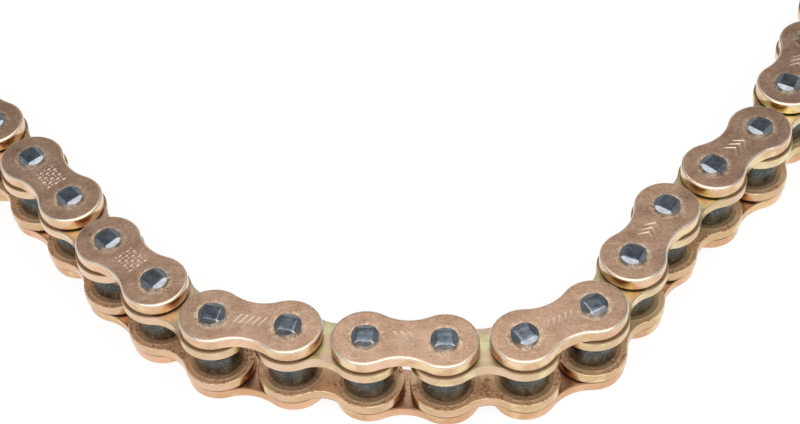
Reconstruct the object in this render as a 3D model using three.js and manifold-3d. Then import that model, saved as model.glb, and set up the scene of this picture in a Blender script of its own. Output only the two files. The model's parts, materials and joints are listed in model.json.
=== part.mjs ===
// A stretch of riveted motorcycle drive chain, lying on its side in a bow with its pins upright.
// Inner links (two plates pressed on two bushes) alternate with outer links (two plates riveted on
// two pins), a roller turns on every bush, and the last link is a clip-type connecting link.
// Millimetres, +Z up. The origin is at the middle of the ground face of the whole stretch.
import * as THREE from "three";
import { mergeVertices } from "three/addons/utils/BufferGeometryUtils.js";
import Module from "manifold-3d";

const wasm = await Module();
wasm.setup();

// Standard sizes of a 525 chain.
const PITCH = 15.875;
const ROLLER_RADIUS = 5.08;
const INNER_WIDTH = 7.94; // between the two inner plates

// Side plates: thickness, radius of the round lobes, half width of the waist between them.
const INNER_PLATE = { thickness: 2.4, lobe: 7.4, waist: 4.95 };
const OUTER_PLATE = { thickness: 2.8, lobe: 6.95, waist: 4.95 };
const SIDE_PLAY = 0.4; // between an outer plate and the inner plate beside it

// Round pieces, each with the running gap that its faceted section needs.
const PIN_RADIUS = 2.6;
const PIN_BORE = 2.8;
const BUSH_RADIUS = 3.7;
const BUSH_BORE = 3.95;
const ROLLER_SIDE_GAP = 0.15;
const HEAD_RADIUS = 2.95;
const HEAD_HEIGHT = 0.4;
const HEAD_GAP = 0.1; // under each riveted head

// Spring clip of the connecting link, and the pin grooves that hold it.
const CLIP = { thickness: 0.9, radius: 4.4, groove: 1.9, bore: 2.1, slot: 1.2, mouth: 0.9 };
const CLIP_GAP = 0.1;
const CAP_HEIGHT = 0.7; // of a pin above its groove

// Direction of each link in degrees from +X, from the free inner end to the connecting link.
const HEADINGS = [
  -56, -56, -51, -53.5, -55.5, -49.5, -40, -15, -15, -7.5,
  0, 24, 53, 56, 43, 42, 56.5, 61, 60, 60,
];
// The links whose plates, pins and bushes are separate solids. In the others they are one solid.
const FIRST_SPLIT_LINK = 6;
const LAST_SPLIT_LINK = 11;

const ROUND_SIDES = 12;
const ROLLER_SIDES = 16;
const LOBE_STEPS = 8;
const WAIST_STEPS = 3;

// Heights above the middle plane of the chain.
const HALF_PITCH = PITCH / 2;
const INNER_PLATE_BASE = INNER_WIDTH / 2;
const INNER_PLATE_TOP = INNER_PLATE_BASE + INNER_PLATE.thickness;
const OUTER_PLATE_BASE = INNER_PLATE_TOP + SIDE_PLAY;
const OUTER_PLATE_TOP = OUTER_PLATE_BASE + OUTER_PLATE.thickness;
const HEAD_BASE = OUTER_PLATE_TOP + HEAD_GAP;
const HEAD_TOP = HEAD_BASE + HEAD_HEIGHT;
const CLIP_BASE = OUTER_PLATE_TOP + CLIP_GAP;
const GROOVE_TOP = CLIP_BASE + CLIP.thickness + CLIP_GAP;

const FINISH = {
  outerPlate: { color: 0xb58a66, roughness: 0.42, metalness: 1 },
  innerPlate: { color: 0xc9ab7c, roughness: 0.36, metalness: 1 },
  pin: { color: 0x4a5058, roughness: 0.22, metalness: 1 },
  bush: { color: 0x6b6862, roughness: 0.35, metalness: 1 },
  roller: { color: 0x35312d, roughness: 0.28, metalness: 1 },
  clip: { color: 0xc9ab7c, roughness: 0.3, metalness: 1 },
};

// Points along an arc about (x, y), its two ends included.
function arc(x, y, radius, from, to, steps) {
  return Array.from({ length: steps + 1 }, (_, step) => {
    const angle = from + ((to - from) * step) / steps;
    return new THREE.Vector2(x + radius * Math.cos(angle), y + radius * Math.sin(angle));
  });
}

function circle(x, radius, sides) {
  return arc(x, 0, radius, 0, 2 * Math.PI, sides).slice(0, -1);
}

// A side plate seen from above, centred between its two holes: each hollow of the waist is an arc
// tangent to both lobes.
function plateShape({ lobe, waist }, holeRadius) {
  const hollow = (HALF_PITCH ** 2 + waist ** 2 - lobe ** 2) / (2 * (lobe - waist));
  const reach = waist + hollow;
  const turn = Math.atan2(reach, -HALF_PITCH);
  const rest = Math.PI - turn;
  const shape = new THREE.Shape([
    ...arc(HALF_PITCH, 0, lobe, -turn, turn, LOBE_STEPS),
    ...arc(0, reach, hollow, -rest, -turn, WAIST_STEPS).slice(1, -1),
    ...arc(-HALF_PITCH, 0, lobe, rest, Math.PI + turn, LOBE_STEPS),
    ...arc(0, -reach, hollow, turn, rest, WAIST_STEPS).slice(1, -1),
  ]);
  if (holeRadius) {
    for (const x of [-HALF_PITCH, HALF_PITCH]) {
      shape.holes.push(new THREE.Path(circle(x, holeRadius, ROUND_SIDES)));
    }
  }
  return shape;
}

function slab(shape, base, thickness) {
  const geometry = new THREE.ExtrudeGeometry(shape, { depth: thickness, bevelEnabled: false });
  return geometry.translate(0, 0, base);
}

// side is 1 for the upper plate of a link and -1 for the lower one.
function plate(kind, side, base, holeRadius) {
  const low = side > 0 ? base : -base - kind.thickness;
  return slab(plateShape(kind, holeRadius), low, kind.thickness);
}

const innerPlate = (side, hole) => plate(INNER_PLATE, side, INNER_PLATE_BASE, hole);
const outerPlate = (side, hole) => plate(OUTER_PLATE, side, OUTER_PLATE_BASE, hole);

// A solid of revolution about Z from [radius, height] pairs.
function turned(profile, sides) {
  const points = profile.map(([radius, height]) => new THREE.Vector2(radius, height));
  return new THREE.LatheGeometry(points, sides).rotateX(Math.PI / 2);
}

function tube(outer, bore, halfLength, sides) {
  const wall = [[bore, -halfLength], [outer, -halfLength], [outer, halfLength], [bore, halfLength]];
  return turned([...wall, wall[0]], sides);
}

function rod(radius, halfLength) {
  const profile = [[0, -halfLength], [radius, -halfLength], [radius, halfLength], [0, halfLength]];
  return turned(profile, ROUND_SIDES);
}

const LOWER_HEAD = [
  [0, -HEAD_TOP], [HEAD_RADIUS, -HEAD_TOP], [HEAD_RADIUS, -HEAD_BASE], [PIN_RADIUS, -HEAD_BASE],
];
const UPPER_HEAD = LOWER_HEAD.map(([radius, height]) => [radius, -height]).reverse();
const GROOVED_END = [
  [PIN_RADIUS, OUTER_PLATE_TOP], [CLIP.groove, OUTER_PLATE_TOP], [CLIP.groove, GROOVE_TOP],
  [PIN_RADIUS, GROOVE_TOP], [PIN_RADIUS, GROOVE_TOP + CAP_HEIGHT], [0, GROOVE_TOP + CAP_HEIGHT],
];

const rivetedPin = () => turned([...LOWER_HEAD, ...UPPER_HEAD], ROUND_SIDES);
const connectingPin = () => turned([...LOWER_HEAD, ...GROOVED_END], ROUND_SIDES);
const bush = () => tube(BUSH_RADIUS, PIN_BORE, INNER_PLATE_TOP, ROUND_SIDES);
const roller = () => tube(ROLLER_RADIUS, BUSH_BORE, INNER_PLATE_BASE - ROLLER_SIDE_GAP, ROLLER_SIDES);

// Copies of one geometry at both ends of a link.
function atBothEnds(make) {
  return [-HALF_PITCH, HALF_PITCH].map((x) => make().translate(x, 0, 0));
}

function solidOf(geometry) {
  const bare = geometry.clone().deleteAttribute("normal").deleteAttribute("uv");
  const merged = mergeVertices(bare);
  const triVerts = merged.index.array;
  const vertProperties = merged.attributes.position.array;
  return new wasm.Manifold(new wasm.Mesh({ numProp: 3, vertProperties, triVerts }));
}

function geometryOf(solid) {
  const { vertProperties, triVerts } = solid.getMesh();
  const geometry = new THREE.BufferGeometry();
  geometry.setAttribute("position", new THREE.BufferAttribute(vertProperties, 3));
  geometry.setIndex(new THREE.BufferAttribute(triVerts, 1));
  return geometry;
}

function joined(...geometries) {
  return geometryOf(geometries.map(solidOf).reduce((whole, solid) => whole.add(solid)));
}

function bored(geometry, holes) {
  const cut = (whole, hole) => whole.subtract(hole);
  return geometryOf(holes.map(solidOf).reduce(cut, solidOf(geometry)));
}

// The clip hugs the grooves of both pins: closed and round at one end, open at the other.
function clip() {
  const { thickness, radius, bore, slot, mouth } = CLIP;
  const outerLip = Math.asin(mouth / radius);
  const innerLip = Math.asin(mouth / bore);
  const neck = Math.asin(slot / bore);
  const quarter = Math.PI / 2;
  const shape = new THREE.Shape([
    ...arc(-HALF_PITCH, 0, radius, outerLip - Math.PI, -quarter, LOBE_STEPS / 2),
    ...arc(HALF_PITCH, 0, radius, -quarter, quarter, LOBE_STEPS),
    ...arc(-HALF_PITCH, 0, radius, quarter, Math.PI - outerLip, LOBE_STEPS / 2),
    ...arc(-HALF_PITCH, 0, bore, Math.PI - innerLip, neck, LOBE_STEPS / 2),
    ...arc(HALF_PITCH, 0, bore, Math.PI - neck, neck - Math.PI, LOBE_STEPS),
    ...arc(-HALF_PITCH, 0, bore, -neck, innerLip - Math.PI, LOBE_STEPS / 2),
  ]);
  return slab(shape, CLIP_BASE, thickness);
}

function piece(name, geometry, finish) {
  const mesh = new THREE.Mesh(geometry, new THREE.MeshStandardMaterial(finish));
  mesh.name = name;
  return mesh;
}

// The two copies of a round piece in a split link, named left and right.
function pair(name, make, finish) {
  const [left, right] = atBothEnds(make);
  return [piece(`${name}_left`, left, finish), piece(`${name}_right`, right, finish)];
}

function splitOuterLink(number) {
  return [
    piece(`outer_plate_${number}_upper`, outerPlate(1, PIN_BORE), FINISH.outerPlate),
    piece(`outer_plate_${number}_lower`, outerPlate(-1, PIN_BORE), FINISH.outerPlate),
    ...pair(`pin_${number}`, rivetedPin, FINISH.pin),
  ];
}

function splitInnerLink(number) {
  return [
    piece(`inner_plate_${number}_upper`, innerPlate(1, BUSH_BORE), FINISH.innerPlate),
    piece(`inner_plate_${number}_lower`, innerPlate(-1, BUSH_BORE), FINISH.innerPlate),
    ...pair(`bush_${number}`, bush, FINISH.bush),
  ];
}

function wholeOuterLink(number) {
  const link = joined(outerPlate(1), outerPlate(-1), ...atBothEnds(rivetedPin));
  return [piece(`outer_link_${number}`, link, FINISH.outerPlate)];
}

function wholeInnerLink(number) {
  const barrels = atBothEnds(() => rod(BUSH_RADIUS, INNER_PLATE_BASE + INNER_PLATE.thickness / 2));
  const bores = atBothEnds(() => rod(PIN_BORE, INNER_PLATE_TOP + SIDE_PLAY));
  const link = bored(joined(innerPlate(1), innerPlate(-1), ...barrels), bores);
  return [piece(`inner_link_${number}`, link, FINISH.innerPlate)];
}

function connectingLink() {
  const pinPlate = joined(outerPlate(-1), ...atBothEnds(connectingPin));
  return [
    piece("connecting_pin_plate", pinPlate, FINISH.outerPlate),
    piece("connecting_slip_plate", outerPlate(1, PIN_BORE), FINISH.outerPlate),
    piece("connecting_clip", clip(), FINISH.clip),
  ];
}

function linkPieces(index) {
  const number = index + 1;
  const label = String(number).padStart(2, "0");
  const inner = index % 2 === 0;
  const split = number >= FIRST_SPLIT_LINK && number <= LAST_SPLIT_LINK;
  if (number === HEADINGS.length) return connectingLink();
  if (inner) return split ? splitInnerLink(label) : wholeInnerLink(label);
  return split ? splitOuterLink(label) : wholeOuterLink(label);
}

// Every inner link has a roller at each end, so the rollers number up along the joints.
function rollerPiece(index) {
  return piece(`roller_${String(index + 1).padStart(2, "0")}`, roller(), FINISH.roller);
}

const chain = new THREE.Group();
const joint = new THREE.Vector3();
HEADINGS.forEach((degrees, index) => {
  const heading = THREE.MathUtils.degToRad(degrees);
  const step = new THREE.Vector3(Math.cos(heading), Math.sin(heading), 0).multiplyScalar(PITCH);

  const axle = new THREE.Group().add(rollerPiece(index));
  axle.position.copy(joint);
  axle.rotation.z = heading;

  const link = new THREE.Group().add(...linkPieces(index));
  link.position.copy(joint).addScaledVector(step, 0.5);
  link.rotation.z = heading;

  chain.add(axle, link);
  joint.add(step);
});

const bounds = new THREE.Box3().setFromObject(chain, true);
const middle = bounds.getCenter(new THREE.Vector3());
chain.position.set(-middle.x, -middle.y, -bounds.min.z);

export default new THREE.Group().add(chain);
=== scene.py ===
"""The looks of a gold-plated motorcycle drive chain, lying on its side in an open bow.

Every plate, pin, bush, roller and clip is a mesh of its own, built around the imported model's joint
axes. The plates and the clip are drawn in their link's own frame, with X along the link, Z along the
pins and the link's middle at the origin. Pins, bushes and rollers are drawn round their own axis.
Lengths are in metres.
"""

import json
import math
import random

import bmesh
import bpy
from mathutils import Matrix, Vector
from mathutils.geometry import tessellate_polygon


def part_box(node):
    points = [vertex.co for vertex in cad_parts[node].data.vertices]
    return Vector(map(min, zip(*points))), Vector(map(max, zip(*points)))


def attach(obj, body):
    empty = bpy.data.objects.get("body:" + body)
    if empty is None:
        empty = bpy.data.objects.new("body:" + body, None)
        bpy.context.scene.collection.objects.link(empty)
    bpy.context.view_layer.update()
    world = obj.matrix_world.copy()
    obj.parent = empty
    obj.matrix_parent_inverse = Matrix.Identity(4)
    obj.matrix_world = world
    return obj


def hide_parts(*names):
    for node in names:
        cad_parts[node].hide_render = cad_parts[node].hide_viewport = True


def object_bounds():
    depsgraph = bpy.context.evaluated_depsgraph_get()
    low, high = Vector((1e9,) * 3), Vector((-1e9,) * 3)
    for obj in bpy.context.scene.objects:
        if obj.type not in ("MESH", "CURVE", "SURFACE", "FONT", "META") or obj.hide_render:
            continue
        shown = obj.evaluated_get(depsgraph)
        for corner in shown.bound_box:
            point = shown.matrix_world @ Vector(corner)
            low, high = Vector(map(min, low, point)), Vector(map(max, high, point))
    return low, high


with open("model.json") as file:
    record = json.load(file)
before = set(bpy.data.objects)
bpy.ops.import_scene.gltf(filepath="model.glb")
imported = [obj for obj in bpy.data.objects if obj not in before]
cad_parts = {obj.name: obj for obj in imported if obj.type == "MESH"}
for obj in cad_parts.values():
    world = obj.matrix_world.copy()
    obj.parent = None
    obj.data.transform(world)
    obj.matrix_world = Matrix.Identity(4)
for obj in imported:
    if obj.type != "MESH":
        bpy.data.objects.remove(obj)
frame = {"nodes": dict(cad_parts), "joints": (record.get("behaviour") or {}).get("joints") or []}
cad_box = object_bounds()

MM = 0.001
TURN = 2 * math.pi
SEED = 520

# ---------------------------------------------------------------------------------------- sizes

# Lobes and bores are given by their radius, and waists, slots and mouths by half their width.
HALF_PITCH = 15.875 / 2 * MM
INNER_LOBE = 7.4 * MM
OUTER_LOBE = 6.95 * MM
WAIST = 4.95 * MM
PIN_RADIUS = 2.6 * MM
HEAD_RADIUS = 2.8 * MM
BUSH_BORE = 2.7 * MM
BUSH_RADIUS = 3.7 * MM
ROLLER_BORE = 3.85 * MM
ROLLER_RADIUS = 5.08 * MM
GROOVE_RADIUS = 1.9 * MM
CLIP_RADIUS = 4.4 * MM
CLIP_BORE = 2.1 * MM
CLIP_SLOT = 1.2 * MM
CLIP_MOUTH = 0.9 * MM
FIT = 0.02 * MM  # between a pressed-in piece and its hole
PIN_RISE = 0.3 * MM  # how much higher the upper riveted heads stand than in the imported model
PIN_SINK = 0.09 * MM  # how far below its plate's face a pin's shaped end begins
STAKE_FLAT = 1.62 * MM  # half the width of a staked end's square flat
STAKE_SLOPE = math.radians(19)  # how steeply the four sides fall away from it
GUARD = 0.1 * MM  # from an edge to the loop beside it that keeps its shading off the flat face

# How many straight steps make up each kind of curve.
LOBE_STEPS = 40
WAIST_STEPS = 14
ROUND_STEPS = 64
EDGE_STEPS = 5
BAR_END_STEPS = 6
CLIP_OUTER_STEPS = 32
CLIP_BORE_STEPS = 28

# ------------------------------------------------------------------------- places in the frame

joints = {joint["name"]: joint for joint in frame["joints"]}
ROLLER_COUNT = sum(name.startswith("roller_spin") for name in joints)

axles = [Vector(joints[f"roller_spin_{k:02d}"]["pos_m"]) for k in range(1, ROLLER_COUNT + 1)]
MIDDLE = axles[0].z

# The chain's last pin has no roller. It mirrors the last axle in the middle of the slip-on plate.
slip_low, slip_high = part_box("connecting_slip_plate")
free_pin = slip_low + slip_high - axles[-1]
axles.append(Vector((free_pin.x, free_pin.y, MIDDLE)))
LAST_LINK = len(axles) - 1


def heights(node):
    """The lowest and highest points of a CAD node above the chain's middle plane."""
    low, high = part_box(node)
    return low.z - MIDDLE, high.z - MIDDLE


INNER_BASE, INNER_TOP = heights("inner_plate_09_upper")
OUTER_BASE, OUTER_TOP = heights("outer_plate_10_upper")
HEAD_TOP = heights("pin_10_left")[1]
ROLLER_TOP = heights("roller_10")[1]
CLIP_BASE, CLIP_TOP = heights("connecting_clip")
CAP_TOP = heights("connecting_pin_plate")[1]


def link_place(number):
    """Moves a piece from its link's own frame into the chain."""
    start, end = axles[number - 1], axles[number]
    heading = math.atan2(end.y - start.y, end.x - start.x)
    return Matrix.Translation((start + end) / 2) @ Matrix.Rotation(heading, 4, "Z")


# --------------------------------------------------------------------------------- mesh making


class Shell:
    """A closed surface made of loops of points. Each point has five shares that its material reads:

    rim, how far it is round an edge; edge, how much of the edge colour it takes, which paints a
    highlight along a plate's rounded upper edge (dimmed to painted shade on inner plates) and tints a
    mark's groove; halo, how much it was burnished or struck; inside, whether it is on the face that
    looks at the roller; and the fifth, how much painted shade it takes where another plate overhangs it.
    """

    SHARES = ("rim", "edge", "halo", "inside", "grime")

    def __init__(self):
        self.points, self.faces, self.shares = [], [], {label: [] for label in self.SHARES}

    def loop(self, flat, z, **shares):
        """Adds a loop of (x, y) points. The height and the shares may be one value or one per point."""
        first = len(self.points)
        levels = z if isinstance(z, list) else [z] * len(flat)
        self.points += [(x, y, level) for (x, y), level in zip(flat, levels)]
        for label in self.SHARES:
            share = shares.get(label, 0.0)
            self.shares[label] += share if isinstance(share, list) else [share] * len(flat)
        return list(range(first, first + len(flat)))

    def bridge(self, one, other):
        """Four-sided faces between two loops with the same number of points."""
        for i in range(len(one)):
            j = (i + 1) % len(one)
            self.faces.append((one[i], one[j], other[j], other[i]))

    def sweep(self, loops):
        """Bridges each loop to the next."""
        for one, other in zip(loops, loops[1:]):
            self.bridge(one, other)

    def cap(self, loop):
        self.faces.append(tuple(loop))

    def fill(self, outer, holes):
        """Triangles between an outer loop and the loops of its holes."""
        loops = [outer, *holes]
        order = [i for loop in loops for i in loop]
        flat = [[Vector((self.points[i][0], self.points[i][1], 0)) for i in loop] for loop in loops]
        self.faces += [tuple(order[i] for i in triangle) for triangle in tessellate_polygon(flat)]

    def mesh(self, name, sharp=30):
        """The finished mesh. Edges that turn by more than sharp degrees aren't shaded smooth."""
        data = bpy.data.meshes.new(name)
        data.from_pydata(self.points, [], self.faces)
        for label, values in self.shares.items():
            data.attributes.new(label, "FLOAT", "POINT").data.foreach_set("value", values)
        work = bmesh.new()
        work.from_mesh(data)
        bmesh.ops.recalc_face_normals(work, faces=work.faces)
        work.to_mesh(data)
        work.free()
        data.shade_smooth()
        data.set_sharp_from_angle(angle=math.radians(sharp))
        return data


def arc(x, y, radius, start, end, steps):
    """Points along an arc round (x, y), from one angle to another."""
    angles = [start + (end - start) * i / steps for i in range(steps + 1)]
    return [(x + radius * math.cos(angle), y + radius * math.sin(angle)) for angle in angles]


def circle(x, y, radius, steps=ROUND_STEPS):
    """Points round a circle, starting half a step past the X axis."""
    start = TURN / steps / 2
    return arc(x, y, radius, start, start + TURN, steps)[:-1]


def inset(points, distance):
    """A closed anticlockwise outline moved inwards by a distance."""
    least = 0.3  # keeps the points at sharp corners from moving too far
    moved = []
    for i, (x, y) in enumerate(points):
        before, after = points[i - 1], points[(i + 1) % len(points)]
        one = Vector((x - before[0], y - before[1])).normalized()
        two = Vector((after[0] - x, after[1] - y)).normalized()
        inward = Vector((-one.y - two.y, one.x + two.x)).normalized()
        reach = distance / max(inward.dot(Vector((-one.y, one.x))), least)
        moved.append((x + inward.x * reach, y + inward.y * reach))
    return moved


def plate_outline(lobe):
    """Two round lobes with a hollow on each side that is tangent to both.

    hollow is the radius of a hollow, and reach is how far its centre lies to the side of the link.
    """
    hollow = (HALF_PITCH**2 + WAIST**2 - lobe**2) / (2 * (lobe - WAIST))
    reach = WAIST + hollow
    turn = math.atan2(reach, -HALF_PITCH)
    rest = math.pi - turn
    return (
        arc(HALF_PITCH, 0, lobe, -turn, turn, LOBE_STEPS)
        + arc(0, reach, hollow, -rest, -turn, WAIST_STEPS)[1:-1]
        + arc(-HALF_PITCH, 0, lobe, rest, math.pi + turn, LOBE_STEPS)
        + arc(0, -reach, hollow, turn, rest, WAIST_STEPS)[1:-1]
    )


def quarter_turn():
    """The angles of the loops that make a rounded edge."""
    return [math.pi / 2 * i / EDGE_STEPS for i in range(EDGE_STEPS + 1)]


def rounded_rim(shell, outline, top, base, reach, drop, base_round, shade_under_cover=0.0):
    """The loops from the flat of the upper face over the rim to the flat of the lower face.

    The upper edge is rounded over this reach and drop, as a punch leaves it, and the lower edge by
    base_round. The last argument is how dark a painted shade lies along the upper edge of the lobes,
    where another plate overhangs them.
    """
    # Painted shade where another plate overhangs the lobes: going out from the link's middle it begins
    # at the first distance and is darkest from the second on. It covers this width of the face, and the
    # rounded edge down to the angle where it ends.
    shade_start, shade_full, width, shade_end = 3.0 * MM, 4.5 * MM, 1.2 * MM, math.radians(60)
    grime = [shade_under_cover * min(max((abs(x) - shade_start) / (shade_full - shade_start), 0), 1) for x, _ in outline]
    loops = [shell.loop(inset(outline, reach + width), top)] if shade_under_cover else []
    loops.append(shell.loop(inset(outline, reach + GUARD), top, grime=grime))
    for step, angle in enumerate(quarter_turn()):
        line = inset(outline, reach * (1 - math.sin(angle)))
        level = top - drop * (1 - math.cos(angle))
        # The rounded upper edge, between its first and last loops, takes the edge colour that paints its
        # highlight.
        edge_light = 1.0 if 0 < step < EDGE_STEPS else 0.0
        rim_overhang_shade = grime if angle < shade_end else 0.0
        loops.append(shell.loop(line, level, rim=math.sin(angle), edge=edge_light, grime=rim_overhang_shade))
    for angle in quarter_turn():
        line = inset(outline, base_round * (1 - math.cos(angle)))
        level = base + base_round * (1 - math.sin(angle))
        loops.append(shell.loop(line, level, rim=math.cos(angle), inside=math.sin(angle)))
    loops.append(shell.loop(inset(outline, base_round + GUARD), base, inside=1.0))
    shell.sweep(loops)
    return loops[0], loops[-1]


def seat(shell, x, steps, inside=0.0):
    """Loops round a hole from (radius, height, halo) steps. Returns the first and last loops."""
    first_radius, *first_place = steps[0]
    guard = (first_radius + GUARD, *first_place)
    loops = []
    for radius, level, halo in [guard, *steps]:
        loops.append(shell.loop(circle(x, 0, radius), level, halo=halo, inside=inside))
    shell.sweep(loops)
    return loops[0], loops[-1]


# ------------------------------------------------------------------------------ engraved marks

# The groove of a mark, from the flat face to its floor: (distance inside the outline, depth, edge).
MARK_STEPS = [
    (-0.03 * MM, 0, 0.0), (0, 0, 0.55), (0.06 * MM, 0.07 * MM, 0.6), (0.13 * MM, 0.11 * MM, 0.6),
]


def engrave(shell, outline, top):
    """A shallow bright groove in the upper face. Returns the flat line round it."""
    loops = []
    for distance, depth, edge in MARK_STEPS:
        loops.append(shell.loop(inset(outline, distance), top - depth, edge=edge))
    shell.sweep(loops)
    shell.cap(loops[-1])
    return loops[0]


def bar(x, y, angle, length, width):
    """The outline of a short stroke with round ends."""
    half, radius = (length - width) / 2, width / 2
    outline = arc(half, 0, radius, -math.pi / 2, math.pi / 2, BAR_END_STEPS)
    outline += arc(-half, 0, radius, math.pi / 2, 3 * math.pi / 2, BAR_END_STEPS)
    turned = [Matrix.Rotation(angle, 2) @ Vector(point) for point in outline]
    return [(x + point.x, y + point.y) for point in turned]


def chevron(x, size, width):
    """The outline of an arrowhead stroke that points along X."""
    return [
        (x - size, -size), (x - size + width, -size), (x + width, 0), (x - size + width, size),
        (x - size, size), (x, 0),
    ]


def dashes():
    """A woven block of short strokes."""
    columns, rows = 6, 5
    step, length, width = 0.95 * MM, 0.9 * MM, 0.32 * MM
    strokes = []
    for column in range(columns):
        for row in range(rows):
            x, y = (column - (columns - 1) / 2) * step, (row - (rows - 1) / 2) * step
            angle = math.pi / 2 * ((column + row) % 2)
            strokes.append(bar(x, y, angle, length, width))
    return strokes


def slanted_bars():
    """Five parallel strokes in a row."""
    step, lean, length, width = 1.3 * MM, math.radians(62), 2.8 * MM, 0.45 * MM
    return [bar(place * step, 0, lean, length, width) for place in range(-2, 3)]


def chevrons():
    """Three arrowheads, one behind the other."""
    size, width = 1.75 * MM, 0.55 * MM
    return [chevron(tip * MM, size, width) for tip in (-0.9, 0.6, 2.1)]


# The marked links, by number.
MARKS = {
    4: dashes, 6: dashes, 8: slanted_bars, 12: slanted_bars,
    10: chevrons, 14: chevrons, 16: chevrons, 18: chevrons,
}

# -------------------------------------------------------------------------------------- plates


def plate_mesh(name, lobe, base, top, rounds, top_seat, base_seat, marks=()):
    """A side plate with rounded rims, a stepped seat round each hole and shallow engraved marks.

    rounds is what rounded_rim is told about the edges. The steps of a seat are (radius, depth below its
    face, halo), from the flat face to the bore.
    """
    shell = Shell()
    upper, lower = rounded_rim(shell, plate_outline(lobe), top, base, **rounds)
    upper_holes, lower_holes = [], []
    for x in (-HALF_PITCH, HALF_PITCH):
        steps = [(radius, top - depth, halo) for radius, depth, halo in top_seat]
        flat_top, bore_top = seat(shell, x, steps)
        steps = [(radius, base + depth, halo) for radius, depth, halo in base_seat]
        flat_base, bore_base = seat(shell, x, steps, inside=1.0)
        shell.bridge(bore_top, bore_base)
        upper_holes.append(flat_top)
        lower_holes.append(flat_base)
    shell.fill(upper, upper_holes + [engrave(shell, outline, top) for outline in marks])
    shell.fill(lower, lower_holes)
    return shell.mesh(name)


def outer_plate(name, marks=()):
    """The upper plate of an outer link. Staking the pin pressed a shallow dish round each hole."""
    bore = PIN_RADIUS + FIT
    top_seat = [
        (4.1 * MM, 0, 0.0), (3.65 * MM, 0.005 * MM, 0.6), (3.25 * MM, 0.02 * MM, 1.0),
        (2.95 * MM, 0.06 * MM, 1.0), (bore, 0.06 * MM, 1.0),
    ]
    base_seat = [(bore + 0.3 * MM, 0, 0.0), (bore, 0.15 * MM, 0.0)]
    rounds = {"reach": 0.55 * MM, "drop": 0.5 * MM, "base_round": 0.15 * MM}
    return plate_mesh(name, OUTER_LOBE, OUTER_BASE, OUTER_TOP, rounds, top_seat, base_seat, marks)


def inner_plate(name):
    """The upper plate of an inner link, with a coined land round the roller on its inner face."""
    bore = BUSH_RADIUS + FIT
    top_seat = [(bore + 0.35 * MM, 0, 0.2), (bore, 0.2 * MM, 0.4)]
    base_seat = [
        (6.3 * MM, 0, 0.0), (6.2 * MM, -0.04 * MM, 0.6), (6.05 * MM, -0.04 * MM, 0.5),
        (5.95 * MM, 0, 0.0), (bore, 0, 0.0),
    ]
    # The inner plates take painted shade along their lobes, where the outer plates overhang them.
    rounds = {"reach": 0.18 * MM, "drop": 0.18 * MM, "base_round": 0.25 * MM, "shade_under_cover": 1.0}
    return plate_mesh(name, INNER_LOBE, INNER_BASE, INNER_TOP, rounds, top_seat, base_seat)


# ------------------------------------------------------------------------------- round pieces


def rounded_tube(name, outer, bore, half, outer_round, bore_round):
    """A tube with rounded outer edges and chamfered bore edges, as loops of (radius, height, rim)."""
    upper = []
    for angle in reversed(quarter_turn()):
        radius = outer - outer_round * (1 - math.sin(angle))
        upper.append((radius, half - outer_round * (1 - math.cos(angle)), math.cos(angle)))
    upper += [(bore + bore_round, half, 0.6), (bore, half - bore_round, 0.3)]
    lower = [(radius, -height, rim) for radius, height, rim in reversed(upper)]
    shell = Shell()
    loops = [shell.loop(circle(0, 0, radius), height, rim=rim) for radius, height, rim in upper + lower]
    shell.sweep(loops + loops[:1])
    return shell.mesh(name)


# Where the loops of a staked end lie: from 0 at its middle to 1 at the outline of its square flat, and
# on to 2 at its round edge.
STAKE_LOOPS = (0.3, 0.62, 0.86, 0.95, 1.0, 1.05, 1.13, 1.4, 1.7, 1.94, 2.0)


def staked_end(shell, surface, top):
    """A pin end struck from four sides: a square flat with four slopes down to a round edge.

    surface is where the pin leaves its plate. Returns the loop there.
    """
    power = 26  # how square the flat is: 2 would make it round
    soft = 0.05 * MM  # over what distance the flat bends into a slope
    side = 1 if top > surface else -1
    ring = circle(0, 0, 1)
    loops = []
    for place in STAKE_LOOPS:
        past = max(place - 1, 0)
        points, levels = [], []
        for x, y in ring:
            across = (abs(x) ** power + abs(y) ** power) ** (1 / power)
            corner = STAKE_FLAT / across
            radius = corner * min(place, 1) + (HEAD_RADIUS - corner) * past
            bend = soft * math.log1p(math.exp((radius * across - STAKE_FLAT) / soft))
            points.append((radius * x, radius * y))
            levels.append(top - side * math.tan(STAKE_SLOPE) * bend)
        loops.append(shell.loop(points, levels, rim=past))
    loops.append(shell.loop(circle(0, 0, HEAD_RADIUS), surface, rim=1.0))
    shell.cap(loops[0])
    shell.sweep(loops)
    return loops[-1]


def grooved_end(shell, surface, top):
    """The end of a connecting pin: a groove for the spring clip and a chamfered cap."""
    groove_base, groove_top = OUTER_TOP + 0.02 * MM, CLIP_TOP + 0.08 * MM
    bevel, chamfer, flat_edge = 0.1 * MM, 0.35 * MM, 0.6 * MM
    steps = [
        (PIN_RADIUS, surface), (PIN_RADIUS, OUTER_TOP), (GROOVE_RADIUS, groove_base),
        (GROOVE_RADIUS, groove_top), (PIN_RADIUS - bevel, CLIP_TOP + bevel),
        (PIN_RADIUS, CLIP_TOP + 2 * bevel), (PIN_RADIUS, top - chamfer), (PIN_RADIUS - chamfer, top),
        (PIN_RADIUS - flat_edge, top),
    ]
    loops = [shell.loop(circle(0, 0, radius), height, rim=0.5) for radius, height in steps]
    shell.sweep(loops)
    shell.cap(loops[-1])
    return loops[0]


def pin_mesh(name, upper_end, top):
    """A link pin. Its lower end is always staked."""
    surface = OUTER_TOP - PIN_SINK
    shell = Shell()
    low_edge = staked_end(shell, -surface, -HEAD_TOP)
    necks = [shell.loop(circle(0, 0, PIN_RADIUS), level) for level in (-surface, surface)]
    shell.sweep([low_edge, *necks, upper_end(shell, surface, top)])
    return shell.mesh(name, sharp=40)


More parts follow.
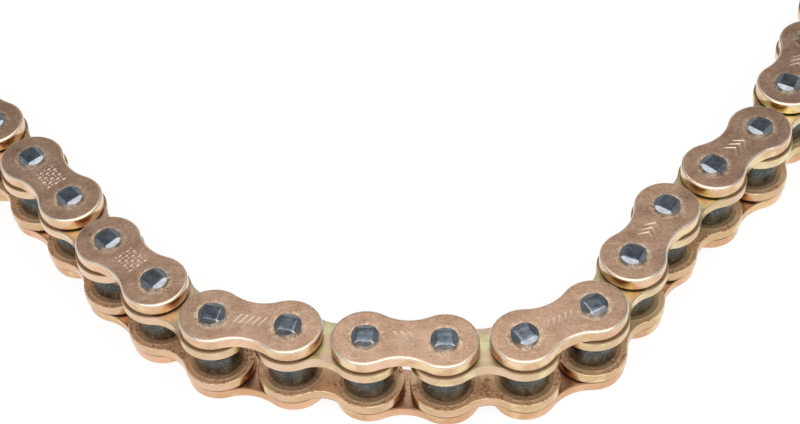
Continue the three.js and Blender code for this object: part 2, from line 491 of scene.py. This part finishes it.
def clip_mesh(name):
    """The spring clip: closed round one pin's groove, open where it snaps over the other."""
    outer_lip = math.asin(CLIP_MOUTH / CLIP_RADIUS)
    inner_lip = math.asin(CLIP_MOUTH / CLIP_BORE)
    neck = math.asin(CLIP_SLOT / CLIP_BORE)
    quarter, closed, open_end = math.pi / 2, HALF_PITCH, -HALF_PITCH
    outline = (
        arc(open_end, 0, CLIP_RADIUS, outer_lip - math.pi, -quarter, CLIP_OUTER_STEPS // 2)
        + arc(closed, 0, CLIP_RADIUS, -quarter, quarter, CLIP_OUTER_STEPS)
        + arc(open_end, 0, CLIP_RADIUS, quarter, math.pi - outer_lip, CLIP_OUTER_STEPS // 2)
        + arc(open_end, 0, CLIP_BORE, math.pi - inner_lip, neck, CLIP_BORE_STEPS // 2)
        + arc(closed, 0, CLIP_BORE, math.pi - neck, neck - math.pi, CLIP_BORE_STEPS)
        + arc(open_end, 0, CLIP_BORE, -neck, inner_lip - math.pi, CLIP_BORE_STEPS // 2)
    )
    rounds = {"reach": 0.15 * MM, "drop": 0.15 * MM, "base_round": 0.1 * MM}
    shell = Shell()
    for loop in rounded_rim(shell, outline, CLIP_TOP, CLIP_BASE, **rounds):
        shell.fill(loop, [])
    return shell.mesh(name)


# ----------------------------------------------------------------------------------- materials


def set_stops(node, stops):
    """Gives a colour ramp its (place, colour or grey level) stops."""
    elements = node.color_ramp.elements
    elements.remove(elements[1])
    for index, (place, colour) in enumerate(stops):
        spot = elements[0] if index == 0 else elements.new(place)
        spot.position = place
        spot.color = (*colour, 1) if isinstance(colour, tuple) else (colour, colour, colour, 1)


class Finish:
    """A bare metal surface, with short names for the shader nodes that colour it.

    level runs from 0 at the floor to 1 at the top of the chain's thickness, and side from -1 to 1 along
    X from one end of the chain to the other. The plates' colours use level for painted shade and side
    for painted light.
    """

    MIX_COLOURS, MIX_RESULT = (6, 7), 2  # the sockets of a mix node that carry colours

    def __init__(self, name):
        self.material = bpy.data.materials.new(name)
        self.material.use_nodes = True
        self.tree = self.material.node_tree
        self.shader = self.tree.nodes["Principled BSDF"]
        self.shader.inputs["Metallic"].default_value = 1.0
        self.place = self.add("ShaderNodeTexCoord").outputs["Object"]
        where = self.add("ShaderNodeSeparateXYZ", {"Vector": self.place}).outputs
        self.level = self.times(where["Z"], 1 / (2 * MIDDLE))
        self.side = self.times(where["X"], 1 / cad_box[1][0])

    def add(self, kind, inputs=(), **settings):
        node = self.tree.nodes.new(kind)
        for key, value in settings.items():
            setattr(node, key, value)
        for key, value in dict(inputs).items():
            self.put(node.inputs[key], value)
        return node

    def put(self, socket, value):
        """Links a socket to another node, or sets its value."""
        if isinstance(value, bpy.types.NodeSocket):
            self.tree.links.new(value, socket)
        else:
            socket.default_value = value

    def share(self, label):
        return self.add("ShaderNodeAttribute", attribute_name=label).outputs["Fac"]

    def noise(self, size, detail=4.0, roughness=0.6, stretch=(1, 1, 1), turn=0.0):
        """Cloudy noise with blotches of about this size."""
        where = self.place
        if stretch != (1, 1, 1):
            turned = {"Vector": where, "Rotation": (0, 0, turn), "Scale": stretch}
            where = self.add("ShaderNodeMapping", turned).outputs["Vector"]
        settings = {"Vector": where, "Scale": 1 / size, "Detail": detail, "Roughness": roughness}
        return self.add("ShaderNodeTexNoise", settings).outputs["Fac"]

    def ramp(self, share, stops):
        """Colours, or grey levels, along a share from 0 to 1."""
        node = self.add("ShaderNodeValToRGB", {"Fac": share})
        set_stops(node, stops)
        return node.outputs["Color"]

    def mix(self, share, first, second, blend="MIX"):
        node = self.add("ShaderNodeMix", data_type="RGBA", blend_type=blend)
        self.put(node.inputs["Factor"], share)
        for socket, value in zip(self.MIX_COLOURS, (first, second)):
            self.put(node.inputs[socket], (*value, 1) if isinstance(value, tuple) else value)
        return node.outputs[self.MIX_RESULT]

    def sum(self, *terms):
        """Adds up (value, weight) terms."""
        total = 0.0
        for value, weight in terms:
            settings = {0: value, 1: weight, 2: total}
            total = self.add("ShaderNodeMath", settings, operation="MULTIPLY_ADD").outputs[0]
        return total

    def times(self, one, other):
        return self.add("ShaderNodeMath", {0: one, 1: other}, operation="MULTIPLY").outputs[0]

    def bump(self, height, depth):
        """Relief up to about this deep."""
        settings = {"Height": height, "Distance": depth, "Strength": 1.0}
        self.put(self.shader.inputs["Normal"], self.add("ShaderNodeBump", settings).outputs["Normal"])

    def done(self, colour, roughness):
        """Connects the colour and roughness, and returns the finished material."""
        self.put(self.shader.inputs["Base Color"], colour)
        self.put(self.shader.inputs["Roughness"], roughness)
        return self.material


# Painted shade on the plates' edges by height through the chain: darker towards the floor, with a
# painted shadow line along the top of the lower outer plates, where the lower inner plates lie over
# them.
HEIGHT_SHADE_STOPS = [
    (0.0, (0.93, 0.83, 0.76)), (0.148, (0.95, 0.85, 0.78)), (0.156, (0.30, 0.20, 0.13)),
    (0.192, (0.30, 0.20, 0.13)), (0.201, (0.96, 0.87, 0.80)), (0.3, (0.97, 0.88, 0.81)),
    (0.7, (1.0, 0.99, 0.98)),
]


def plate_wall(metal, tone_and_side_light, stops):
    """The colour of a plate's edges: it drifts between these stops, and painted shade by height darkens
    it towards the floor and in a line at the lower gap.
    """
    return metal.mix(1.0, metal.ramp(tone_and_side_light, stops), metal.ramp(metal.level, HEIGHT_SHADE_STOPS), "MULTIPLY")


def outer_finish():
    """Satin pink-gold plate, mottled in the press, with bright walls and burnished struck metal."""
    metal = Finish("outer_plate_gilt")
    clouds = metal.noise(4.5 * MM, 5, 0.6)
    grain = metal.noise(0.45 * MM, 5, 0.75)
    specks = metal.noise(0.16 * MM, 2, 0.6)
    scuffs = metal.noise(1.1 * MM, 4, 0.7, stretch=(0.25, 2.2, 1), turn=0.7)
    tone = metal.sum((clouds, 0.45), (grain, 0.55))
    face = metal.ramp(tone, [
        (0.36, (0.32, 0.185, 0.12)), (0.44, (0.46, 0.285, 0.19)), (0.54, (0.58, 0.375, 0.26)),
        (0.64, (0.74, 0.51, 0.37)),
    ])
    dust = metal.ramp(specks, [(0.30, 0.62), (0.40, 1.0), (0.60, 1.0), (0.70, 1.3)])
    face = metal.mix(1.0, face, dust, "MULTIPLY")
    scratched = metal.ramp(scuffs, [(0.58, 0.0), (0.67, 0.55)])
    face = metal.mix(scratched, face, (0.80, 0.56, 0.40))
    # Painted light: the walls turn lighter and yellower towards the chain's +X end, over a random drift
    # of tone.
    tone_and_side_light = metal.sum((metal.noise(7 * MM, 3, 0.5), 1.0), (metal.side, -0.1))
    wall = plate_wall(metal, tone_and_side_light, [
        (0.34, (0.86, 0.66, 0.40)), (0.46, (0.68, 0.44, 0.26)), (0.62, (0.84, 0.56, 0.39)),
    ])
    colour = metal.mix(metal.share("rim"), face, wall)
    # Painted highlight: a pale colour on the rounded upper edge. A mark's groove takes the same colour
    # as its own bright tint.
    colour = metal.mix(metal.share("edge"), colour, (0.90, 0.74, 0.60))
    struck = metal.ramp(grain, [(0.42, (0.66, 0.46, 0.33)), (0.60, (0.98, 0.78, 0.58))])
    smears = metal.noise(1.3 * MM, 4, 0.7)
    burr = metal.times(metal.share("halo"), metal.ramp(smears, [(0.42, 0.0), (0.56, 1.0)]))
    colour = metal.mix(burr, colour, struck)
    rough = metal.sum((grain, 0.25), (clouds, 0.15), (metal.share("rim"), -0.1), (0.12, 1.0))
    relief = metal.sum((grain, 0.6), (specks, 0.3), (metal.times(grain, metal.share("halo")), 2.5))
    metal.bump(relief, 0.018 * MM)
    return metal.done(colour, rough)


def inner_finish():
    """Yellow-gold passivated plate that drifts to green and pink, gritty brown in front of rollers."""
    metal = Finish("inner_plate_gilt")
    clouds = metal.noise(6 * MM, 4, 0.55)
    grain = metal.noise(0.5 * MM, 5, 0.75)
    film = metal.noise(3.2 * MM, 5, 0.65)
    grit = metal.noise(0.7 * MM, 6, 0.8)
    # Painted light: the faces turn lighter and yellower towards the chain's +X end, over the film's own
    # drift of tone.
    face = metal.ramp(metal.sum((film, 1.0), (metal.side, -0.08)), [
        (0.30, (0.72, 0.64, 0.36)), (0.42, (0.54, 0.54, 0.30)), (0.50, (0.52, 0.40, 0.24)),
        (0.60, (0.62, 0.44, 0.33)), (0.68, (0.64, 0.50, 0.42)),
    ])
    # Painted light: the walls and the face that looks at the roller turn lighter towards the +X end,
    # over a random drift of tone.
    tone_and_side_light = metal.sum((clouds, 1.0), (metal.side, -0.1))
    wall = plate_wall(metal, tone_and_side_light, [
        (0.32, (0.82, 0.70, 0.42)), (0.44, (0.66, 0.48, 0.28)), (0.62, (0.78, 0.56, 0.40)),
    ])
    colour = metal.mix(metal.share("rim"), face, wall)
    # Painted shade: a dimmer colour on the inner plate's rounded upper edge, which tones down its
    # highlight.
    colour = metal.mix(metal.share("edge"), colour, (0.57, 0.44, 0.31))
    # Painted light: a much lighter copy of the plate colour on the face that looks at the roller, which
    # lies in shade between the plates.
    inside_lightened = metal.ramp(tone_and_side_light, [
        (0.34, (0.98, 0.80, 0.52)), (0.46, (0.98, 0.70, 0.44)), (0.60, (1.0, 0.66, 0.44)),
    ])
    colour = metal.mix(metal.share("inside"), colour, inside_lightened)
    patch = metal.times(metal.ramp(clouds, [(0.47, 0.0), (0.55, 1.0)]), metal.share("inside"))
    patch = metal.times(patch, metal.ramp(grit, [(0.46, 0.0), (0.60, 0.9)]))
    colour = metal.mix(patch, colour, (0.38, 0.19, 0.07))
    colour = metal.mix(metal.share("halo"), colour, (0.92, 0.76, 0.48))
    # Painted shade: a dark brown, less metallic band where an outer plate overhangs the inner plate.
    colour = metal.mix(metal.share("grime"), colour, (0.36, 0.22, 0.11))
    metal.put(metal.shader.inputs["Metallic"], metal.sum((metal.share("grime"), -0.7), (1.0, 1.0)))
    rough = metal.sum((grain, 0.2), (film, 0.15), (patch, 0.3), (metal.share("rim"), -0.1), (0.16, 1.0))
    rough = metal.sum((metal.share("inside"), 0.2), (rough, 1.0))
    relief = metal.sum((grain, 0.4), (metal.times(grit, patch), 4.0))
    metal.bump(relief, 0.02 * MM)
    return metal.done(colour, rough)


def roller_finish():
    """Dark oiled gunmetal with faint turning marks."""
    metal = Finish("roller_gunmetal")
    clouds = metal.noise(3 * MM, 4, 0.6)
    turning = metal.noise(1.2 * MM, 3, 0.6, stretch=(0.3, 0.3, 6))
    glints = metal.noise(0.4 * MM, 4, 0.75, stretch=(1, 1, 0.6))
    colour = metal.ramp(clouds, [(0.35, (0.050, 0.057, 0.057)), (0.65, (0.098, 0.106, 0.102))])
    colour = metal.mix(metal.ramp(glints, [(0.54, 0.0), (0.68, 0.7)]), colour, (0.36, 0.36, 0.32))
    colour = metal.mix(metal.share("rim"), colour, (0.17, 0.165, 0.15))
    rough = metal.sum((clouds, 0.2), (turning, 0.1), (0.13, 1.0))
    metal.bump(turning, 0.004 * MM)
    return metal.done(colour, rough)


def pin_finish():
    """Polished blue-grey steel, scuffed where it was staked, with painted light: the slopes of a staked
    end are coloured lighter than its flat.
    """
    metal = Finish("pin_steel")
    clouds = metal.noise(1.5 * MM, 4, 0.65)
    strokes = metal.noise(0.5 * MM, 3, 0.6, stretch=(4, 0.6, 1), turn=0.2)
    flat = metal.ramp(clouds, [(0.35, (0.10, 0.118, 0.14)), (0.65, (0.20, 0.228, 0.262))])
    # Painted light: the four slopes of a staked end take a lighter colour than its flat.
    lit_slope = metal.ramp(clouds, [(0.38, (0.27, 0.295, 0.33)), (0.62, (0.40, 0.43, 0.46))])
    colour = metal.mix(metal.ramp(metal.share("rim"), [(0.0, 0.0), (0.1, 1.0)]), flat, lit_slope)
    rough = metal.sum((clouds, 0.14), (strokes, 0.06), (0.02, 1.0))
    metal.bump(strokes, 0.003 * MM)
    return metal.done(colour, rough)


def bush_finish():
    """Dull drawn steel."""
    metal = Finish("bush_steel")
    clouds = metal.noise(1.2 * MM, 4, 0.6)
    colour = metal.ramp(clouds, [(0.35, (0.30, 0.27, 0.22)), (0.65, (0.50, 0.45, 0.36))])
    rough = metal.sum((clouds, 0.3), (0.2, 1.0))
    metal.bump(clouds, 0.004 * MM)
    return metal.done(colour, rough)


def clip_finish():
    """Gold-plated spring steel, brushed along its length."""
    metal = Finish("clip_gilt")
    clouds = metal.noise(2.5 * MM, 4, 0.6)
    brushed = metal.noise(0.6 * MM, 3, 0.6, stretch=(0.3, 5, 1), turn=-math.radians(60))
    colour = metal.ramp(clouds, [(0.35, (0.74, 0.58, 0.28)), (0.65, (0.88, 0.66, 0.40))])
    rough = metal.sum((brushed, 0.25), (clouds, 0.1), (0.1, 1.0))
    metal.bump(brushed, 0.005 * MM)
    return metal.done(colour, rough)


FINISHES = {
    "outer_plate": outer_finish(), "inner_plate": inner_finish(), "pin": pin_finish(),
    "bush": bush_finish(), "roller": roller_finish(), "clip": clip_finish(),
}

# -------------------------------------------------------------------------------------- pieces


def add_piece(name, mesh, place, slot, body, *nodes):
    """Puts a copy of a mesh at its place in the chain, as a piece that moves with a body."""
    data = mesh.copy()
    data.name = name
    data.transform(place)
    if place.is_negative:
        data.flip_normals()
    data.materials.append(FINISHES[slot])
    piece = bpy.data.objects.new(name, data)
    bpy.context.scene.collection.objects.link(piece)
    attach(piece, body)
    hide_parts(*nodes)


chance = random.Random(SEED)
MIRRORED = Matrix.Diagonal((1, 1, -1, 1))  # turns an upper plate into a lower one
ENDS = (("left", -HALF_PITCH), ("right", HALF_PITCH))
INNER_PLATE = inner_plate("inner_plate")
PLAIN_OUTER_PLATE = outer_plate("outer_plate")
RIVETED_PIN = pin_mesh("riveted_pin", staked_end, HEAD_TOP + PIN_RISE)
GROOVED_PIN = pin_mesh("grooved_pin", grooved_end, CAP_TOP)
BUSH = rounded_tube(
    "bush", BUSH_RADIUS, BUSH_BORE, INNER_TOP, outer_round=0.15 * MM, bore_round=0.2 * MM
)
ROLLER = rounded_tube(
    "roller", ROLLER_RADIUS, ROLLER_BORE, ROLLER_TOP, outer_round=0.3 * MM, bore_round=0.3 * MM
)


def node_of(number, kind, where):
    """The CAD node that holds a part of a link: the part's own, or the link's where it is joined."""
    joined = "inner_link" if number % 2 else "outer_link"
    own = f"{kind}_{number:02d}_{where}"
    return own if own in frame["nodes"] else f"{joined}_{number:02d}"


def add_plates(number, upper, lower, slot, nodes):
    """A link's upper and lower plates, and the CAD node that each one replaces."""
    label, place, body = f"link{number:02d}", link_place(number), f"link_{number:02d}"
    add_piece(f"{label}_{slot}_upper", upper, place, slot, body, nodes[0])
    add_piece(f"{label}_{slot}_lower", lower, place @ MIRRORED, slot, body, nodes[1])


def add_round_pieces(number, mesh, slot, nodes):
    """A pin or bush at each end of a link, turned a little by its own amount."""
    most = 5  # degrees
    for (end, x), node in zip(ENDS, nodes):
        twist = Matrix.Rotation(math.radians(chance.uniform(-most, most)), 4, "Z")
        place = link_place(number) @ Matrix.Translation((x, 0, 0)) @ twist
        add_piece(f"link{number:02d}_{slot}_{end}", mesh, place, slot, f"link_{number:02d}", node)


def inner_link(number):
    plates = [node_of(number, "inner_plate", side) for side in ("upper", "lower")]
    bushes = [node_of(number, "bush", end) for end, _ in ENDS]
    add_plates(number, INNER_PLATE, INNER_PLATE, "inner_plate", plates)
    add_round_pieces(number, BUSH, "bush", bushes)


def outer_link(number):
    plates = [node_of(number, "outer_plate", side) for side in ("upper", "lower")]
    pins = [node_of(number, "pin", end) for end, _ in ENDS]
    marked = outer_plate("marked_plate", MARKS[number]()) if number in MARKS else PLAIN_OUTER_PLATE
    add_plates(number, marked, PLAIN_OUTER_PLATE, "outer_plate", plates)
    add_round_pieces(number, RIVETED_PIN, "pin", pins)


def connecting_link(number):
    slip_plate, pin_plate = "connecting_slip_plate", "connecting_pin_plate"
    add_plates(number, PLAIN_OUTER_PLATE, PLAIN_OUTER_PLATE, "outer_plate", [slip_plate, pin_plate])
    add_round_pieces(number, GROOVED_PIN, "pin", [pin_plate, pin_plate])
    clip = clip_mesh("clip")
    add_piece("spring_clip", clip, link_place(number), "clip", f"link_{number:02d}", "connecting_clip")


def add_roller(number):
    """Rollers and axles are both counted from the free inner end."""
    axle = axles[number - 1]
    label = f"roller_{number:02d}"
    add_piece(f"steel_{label}", ROLLER, Matrix.Translation(axle), "roller", label, label)


for number in range(1, LAST_LINK + 1):
    if number == LAST_LINK:
        connecting_link(number)
    elif number % 2:
        inner_link(number)
    else:
        outer_link(number)
    add_roller(number)

# --------------------------------------------------------------------------------------- stage

# The brightness of the surroundings is the product of two: one by how far they are to the side, from -1
# to 1 along X, and one by how high they are, from -1 to 1 along Z.
SIDE_STOPS = [
    (-1.0, 0.66), (-0.7, 0.58), (-0.42, 0.28), (-0.22, 0.36), (-0.12, 0.46), (0.02, 0.64),
    (0.12, 0.48), (0.22, 0.36), (0.42, 0.28), (0.7, 0.58), (1.0, 0.66),
]
HEIGHT_STOPS = [(-1.0, 0.6), (0.0, 0.75), (0.4, 0.85), (0.70, 1.02), (1.0, 0.75)]


def light_surroundings():
    """Soft surroundings, brightest half way up and dimmest about 25 degrees to either side of Y."""
    world = bpy.data.worlds.new("studio")
    bpy.context.scene.world = world
    world.use_nodes = True
    tree = world.node_tree
    split = tree.nodes.new("ShaderNodeSeparateXYZ")
    tree.links.new(tree.nodes.new("ShaderNodeTexCoord").outputs["Generated"], split.inputs[0])
    shade = tree.nodes.new("ShaderNodeMath")
    shade.operation = "MULTIPLY"
    for index, (axis, stops) in enumerate((("X", SIDE_STOPS), ("Z", HEIGHT_STOPS))):
        share = tree.nodes.new("ShaderNodeMapRange")
        share.inputs["From Min"].default_value = -1
        tree.links.new(split.outputs[axis], share.inputs["Value"])
        ramp = tree.nodes.new("ShaderNodeValToRGB")
        ramp.color_ramp.interpolation = "EASE"
        set_stops(ramp, [((place + 1) / 2, grey) for place, grey in stops])
        tree.links.new(share.outputs["Result"], ramp.inputs["Fac"])
        tree.links.new(ramp.outputs["Color"], shade.inputs[index])
    tree.links.new(shade.outputs[0], tree.nodes["Background"].inputs["Color"])


def add_softbox(name, place, turn, width, depth, radiance):
    """A rectangular lamp. Unturned, it faces straight down. The turn is in degrees."""
    lamp = bpy.data.lights.new(name, "AREA")
    lamp.shape = "RECTANGLE"
    lamp.size, lamp.size_y = width, depth
    lamp.energy = radiance * math.pi * width * depth
    holder = bpy.data.objects.new(name, lamp)
    bpy.context.scene.collection.objects.link(holder)
    holder.location = place
    holder.rotation_euler = [math.radians(degrees) for degrees in turn]
    holder.visible_camera = False


def add_floor():
    """A wide pale sheet at the height that the chain rests on. It glows, so it shows as white."""
    reach = 30.0
    data = bpy.data.meshes.new("floor")
    corners = [(-reach, -reach, 0), (reach, -reach, 0), (reach, reach, 0), (-reach, reach, 0)]
    data.from_pydata(corners, [], [(0, 1, 2, 3)])
    pale = bpy.data.materials.new("pale_floor")
    pale.use_nodes = True
    shader = pale.node_tree.nodes["Principled BSDF"]
    shader.inputs["Base Color"].default_value = (0.16, 0.16, 0.16, 1)
    shader.inputs["Roughness"].default_value = 1.0
    shader.inputs["Specular IOR Level"].default_value = 0.0
    shader.inputs["Emission Color"].default_value = (1, 1, 1, 1)
    shader.inputs["Emission Strength"].default_value = 0.88
    data.materials.append(pale)
    floor = bpy.data.objects.new("floor", data)
    bpy.context.scene.collection.objects.link(floor)


# The camera stands on the bow's closed side and looks down at a point inside the bow, which is given
# from the middle axle.
CAMERA_ELEVATION = math.radians(47.115)
CAMERA_ROLL = math.radians(-3.583)
CAMERA_DISTANCE = 407.14 * MM
CAMERA_LENS, CAMERA_SENSOR = 81.43, 36  # millimetres, as the camera takes them
AIM_FROM_AXLE = Vector((8.493 * MM, 50.317 * MM, 0))
AIM_HEIGHT = 1.2 * MM


def add_camera():
    middle_axle = axles[LAST_LINK // 2 - 1]
    aim = middle_axle + AIM_FROM_AXLE
    aim.z = AIM_HEIGHT
    camera = bpy.data.cameras.new("camera")
    camera.lens, camera.sensor_width = CAMERA_LENS, CAMERA_SENSOR
    camera.clip_start = 10 * MM
    holder = bpy.data.objects.new("camera", camera)
    bpy.context.scene.collection.objects.link(holder)
    back = Vector((0, -math.cos(CAMERA_ELEVATION), math.sin(CAMERA_ELEVATION)))
    upright = Matrix.Rotation(math.pi / 2 - CAMERA_ELEVATION, 4, "X")
    holder.matrix_world = (
        Matrix.Translation(aim + back * CAMERA_DISTANCE) @ upright @ Matrix.Rotation(CAMERA_ROLL, 4, "Z")
    )
    bpy.context.scene.camera = holder


light_surroundings()
# The lamps' places, turns, widths, depths and radiances.
add_softbox("overhead", (0.05, 0.12, 0.6), (0, 0, -10), 0.46, 0.24, 1.5)
add_softbox("behind", (0.015, 0.345, 0.6), (0, 0, 0), 0.25, 0.11, 2.0)
add_softbox("over_camera", (0, -0.48, 0.65), (37, 0, 0), 1.3, 0.84, 1.45)
add_floor()
add_camera()
bpy.context.scene.view_settings.view_transform = "Standard"
